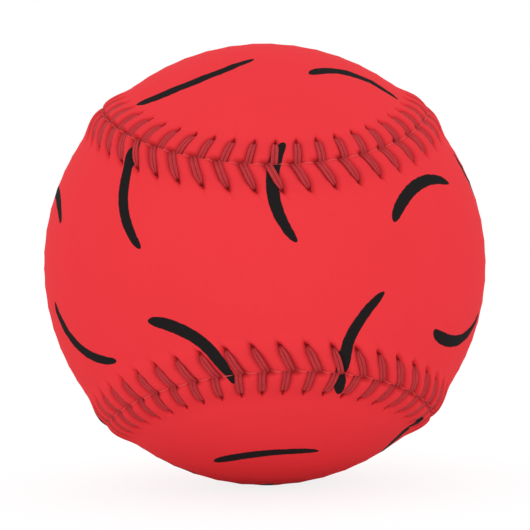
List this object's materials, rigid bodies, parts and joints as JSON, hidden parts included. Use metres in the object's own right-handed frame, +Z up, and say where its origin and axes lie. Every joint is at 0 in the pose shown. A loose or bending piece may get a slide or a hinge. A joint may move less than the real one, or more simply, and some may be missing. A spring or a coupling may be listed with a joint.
{
  "type": "baseball",
  "caption": "Stitched ball with a red two-panel cover and a black dash print, over wool windings and a cork and rubber centre, for throwing, catching and display.",
  "frame": {"origin": "centre of the ball", "axes": "+Y runs from the middle of the front panel's narrow waist to the middle of the back panel's narrow waist, +X is to the right of the pictured view and +Z is up"},
  "size_m": [0.0746, 0.0746, 0.0746],
  "materials": {
    "cork": "pressed cork composition",
    "black_rubber": "moulded, matte",
    "red_rubber": "moulded, matte",
    "grey_wool": "wound yarn",
    "white_wool": "wound yarn",
    "white_cotton": "fine wound yarn",
    "cover_leather": "smooth printed synthetic leather, satin",
    "seam_thread": "waxed doubled cotton thread"
  },
  "bodies": {
    "root": {"cork_core": "cork", "inner_rubber_cup_front": "black_rubber", "inner_rubber_cup_back": "black_rubber", "rubber_gasket": "red_rubber", "outer_rubber_cup_front": "red_rubber", "outer_rubber_cup_back": "red_rubber", "first_wool_winding": "grey_wool", "second_wool_winding": "white_wool", "third_wool_winding": "grey_wool", "finishing_winding": "white_cotton", "cover_panel_front": "cover_leather", "cover_panel_back": "cover_leather", "seam_thread": "seam_thread"}
  },
  "joints": []
}
